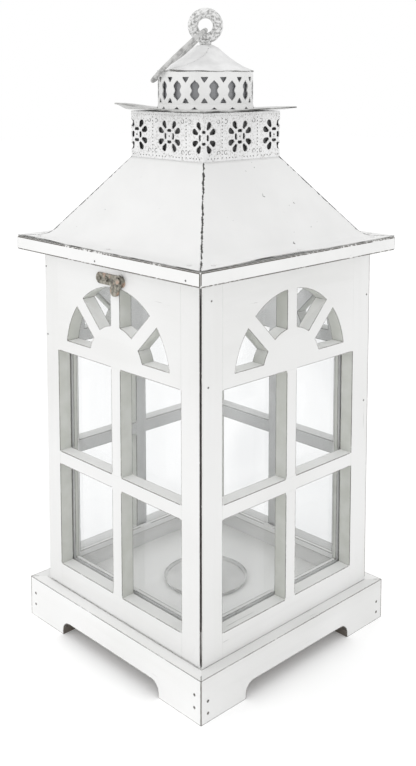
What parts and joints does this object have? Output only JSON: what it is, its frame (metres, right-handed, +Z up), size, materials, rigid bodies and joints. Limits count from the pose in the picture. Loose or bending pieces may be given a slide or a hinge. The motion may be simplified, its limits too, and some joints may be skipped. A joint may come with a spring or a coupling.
{
  "type": "candle lantern",
  "caption": "Square painted-wood candle lantern with glazed windows, a hinged door, flared sheet-metal roof, pierced vent collar and cupola, and a hanging ring.",
  "frame": {"origin": "centre of the footprint on the ground, under the middle of the plinth", "axes": "+Z up; the door faces -Y, and its hinge is at -X"},
  "size_m": [0.24, 0.24, 0.5589],
  "materials": {
    "painted_wood": "white paint over pine, rubbed through at the edges",
    "painted_sheet": "white paint on thin sheet, chipped at folds",
    "painted_iron": "white paint on iron, worn through",
    "clear_glass": "clear sheet glass",
    "aged_bronze": "antique bronze, rubbed",
    "bare_tin": "plain dull tinplate",
    "steel_wire": "dull steel"
  },
  "bodies": {
    "lantern": {"back_wall_bottom_rail": "painted_wood", "back_wall_cross_bar": "painted_wood", "back_wall_fan_board": "painted_wood", "back_wall_glass": "clear_glass", "back_wall_glass_beads": "painted_wood", "back_wall_left_hand_stile": "painted_wood", "back_wall_right_hand_stile": "painted_wood", "back_wall_upright_bar": "painted_wood", "base_deck": "painted_wood", "base_skirt_back": "painted_wood", "base_skirt_front": "painted_wood", "base_skirt_left": "painted_wood", "base_skirt_right": "painted_wood", "candle_dish": "painted_sheet", "cap_plate": "painted_sheet", "collar_lining": "bare_tin", "cupola_cone": "painted_sheet", "cupola_drum": "painted_sheet", "door_pivot_pins": "steel_wire", "drum_lining": "bare_tin", "eave_board": "painted_wood", "eye_nut": "steel_wire", "hanging_eye": "painted_iron", "latch_keeper": "aged_bronze", "left_wall_bottom_rail": "painted_wood", "left_wall_cross_bar": "painted_wood", "left_wall_fan_board": "painted_wood", "left_wall_glass": "clear_glass", "left_wall_glass_beads": "painted_wood", "left_wall_left_hand_stile": "painted_wood", "left_wall_right_hand_stile": "painted_wood", "left_wall_upright_bar": "painted_wood", "right_wall_bottom_rail": "painted_wood", "right_wall_cross_bar": "painted_wood", "right_wall_fan_board": "painted_wood", "right_wall_glass": "clear_glass", "right_wall_glass_beads": "painted_wood", "right_wall_left_hand_stile": "painted_wood", "right_wall_right_hand_stile": "painted_wood", "right_wall_upright_bar": "painted_wood", "roof_panel_back": "painted_sheet", "roof_panel_front": "painted_sheet", "roof_panel_left": "painted_sheet", "roof_panel_right": "painted_sheet", "roof_pins": "painted_sheet", "skirt_nails": "steel_wire", "vent_collar": "painted_sheet"},
    "door": {"door_bottom_rail": "painted_wood", "door_cross_bar": "painted_wood", "door_fan_board": "painted_wood", "door_glass": "clear_glass", "door_glass_beads": "painted_wood", "door_hinge_stile": "painted_wood", "door_lock_stile": "painted_wood", "door_upright_bar": "painted_wood", "latch_plate": "aged_bronze", "latch_screws": "aged_bronze", "latch_rivet": "aged_bronze"},
    "latch_hook": {"latch_hook": "aged_bronze"},
    "ring": {"hanging_ring": "painted_iron"}
  },
  "joints": [
    {"name": "door_hinge", "type": "hinge", "parent": "lantern", "child": "door", "pos_m": [-0.09775, -0.09775, 0.19], "axis": [0, 0, -1], "range_deg": [0, 110]},
    {"name": "latch_swing", "type": "hinge", "parent": "door", "child": "latch_hook", "pos_m": [0.009, -0.1065, 0.3323], "axis": [0, 1, 0], "range_deg": [0, 145]},
    {"name": "ring_swing", "type": "hinge", "parent": "lantern", "child": "ring", "pos_m": [0, 0, 0.5395], "axis": [-0.7071, 0.7071, 0], "range_deg": [0, 267]}
  ]
}
